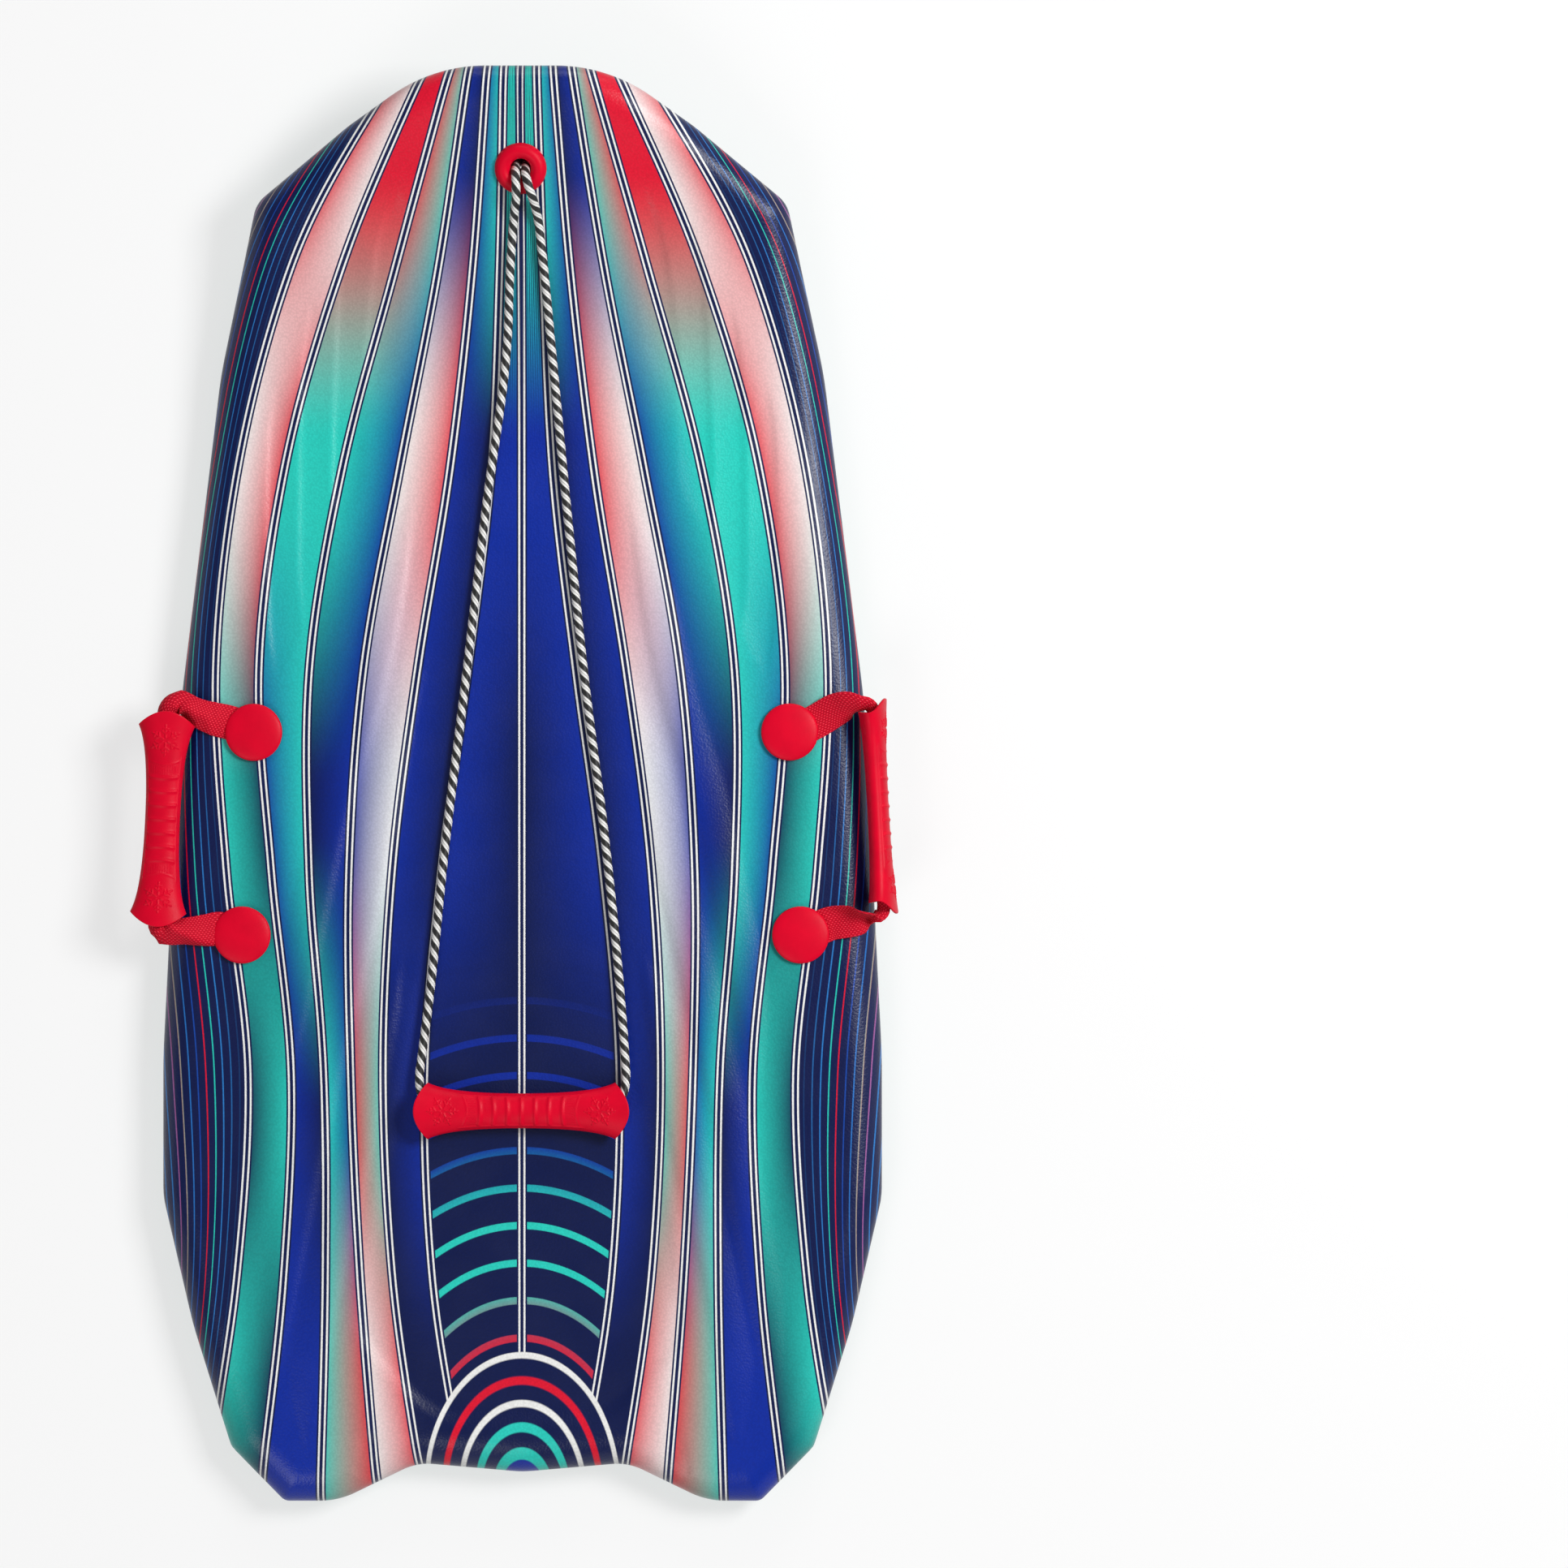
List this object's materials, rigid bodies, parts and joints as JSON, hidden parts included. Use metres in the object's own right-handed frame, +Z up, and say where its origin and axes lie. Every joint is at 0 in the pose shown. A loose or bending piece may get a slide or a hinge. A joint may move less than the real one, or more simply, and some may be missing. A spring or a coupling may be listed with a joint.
{
  "type": "foam snow sled",
  "caption": "Laminated foam sled board with an upturned nose, a tow rope with a grip and two webbing side handles, for sliding on snow lying down.",
  "frame": {"origin": "on the floor, at the middle of the underside of the bounding box", "axes": "+Y towards the nose, +X to the rider's right, +Z up through the deck"},
  "size_m": [0.6524, 1.219, 0.0989],
  "materials": {
    "foam": "closed-cell foam",
    "deck_print": "printed, fine leather grain",
    "slick": "smooth slick sheet",
    "red_plastic": "satin moulded plastic",
    "red_webbing": "woven webbing",
    "cord": "black and white braided cord"
  },
  "bodies": {
    "board": {"foam_core": "foam", "deck_skin": "deck_print", "slick_base": "slick", "tow_plug_top": "red_plastic", "tow_plug_base": "red_plastic", "rope_knot": "cord", "deck_cap_left_front": "red_plastic", "base_cap_left_front": "red_plastic", "deck_cap_left_rear": "red_plastic", "base_cap_left_rear": "red_plastic", "deck_cap_right_front": "red_plastic", "base_cap_right_front": "red_plastic", "deck_cap_right_rear": "red_plastic", "base_cap_right_rear": "red_plastic"},
    "tow_bridle": {"tow_rope": "cord"},
    "tow_grip": {"tow_grip": "red_plastic"},
    "left_handle": {"left_strap": "red_webbing"},
    "left_grip": {"left_grip": "red_plastic"},
    "right_handle": {"right_strap": "red_webbing"},
    "right_grip": {"right_grip": "red_plastic"}
  },
  "joints": [
    {"name": "tow_bridle_swing", "type": "hinge", "parent": "board", "child": "tow_bridle", "pos_m": [0, 0.521, 0.0877], "axis": [-1, 0, 0], "range_deg": [0, 165], "deforming": ["tow_rope"]},
    {"name": "tow_grip_roll", "type": "hinge", "parent": "tow_bridle", "child": "tow_grip", "pos_m": [0, -0.2757, 0.0597], "axis": [1, 0, 0], "range_deg": [-20, 20], "deforming": ["tow_rope"]},
    {"name": "left_handle_swing", "type": "hinge", "parent": "board", "child": "left_handle", "pos_m": [-0.2571, -0.0405, 0.0482], "axis": [0.0574, 0.9984, 0], "range_deg": [0, 135], "deforming": ["left_strap"]},
    {"name": "left_grip_roll", "type": "hinge", "parent": "left_handle", "child": "left_grip", "pos_m": [-0.30495, -0.028, 0.054], "axis": [-0.0467, -0.9989, 0], "range_deg": [-8, 85], "deforming": ["left_strap"]},
    {"name": "right_handle_swing", "type": "hinge", "parent": "board", "child": "right_handle", "pos_m": [0.2567, -0.0403, 0.0482], "axis": [0.0538, -0.9986, 0], "range_deg": [0, 135], "deforming": ["right_strap"]},
    {"name": "right_grip_roll", "type": "hinge", "parent": "right_handle", "child": "right_grip", "pos_m": [0.3027, -0.0176, 0.054], "axis": [-0.0548, 0.9985, 0], "range_deg": [-85, 5], "deforming": ["right_strap"]}
  ]
}
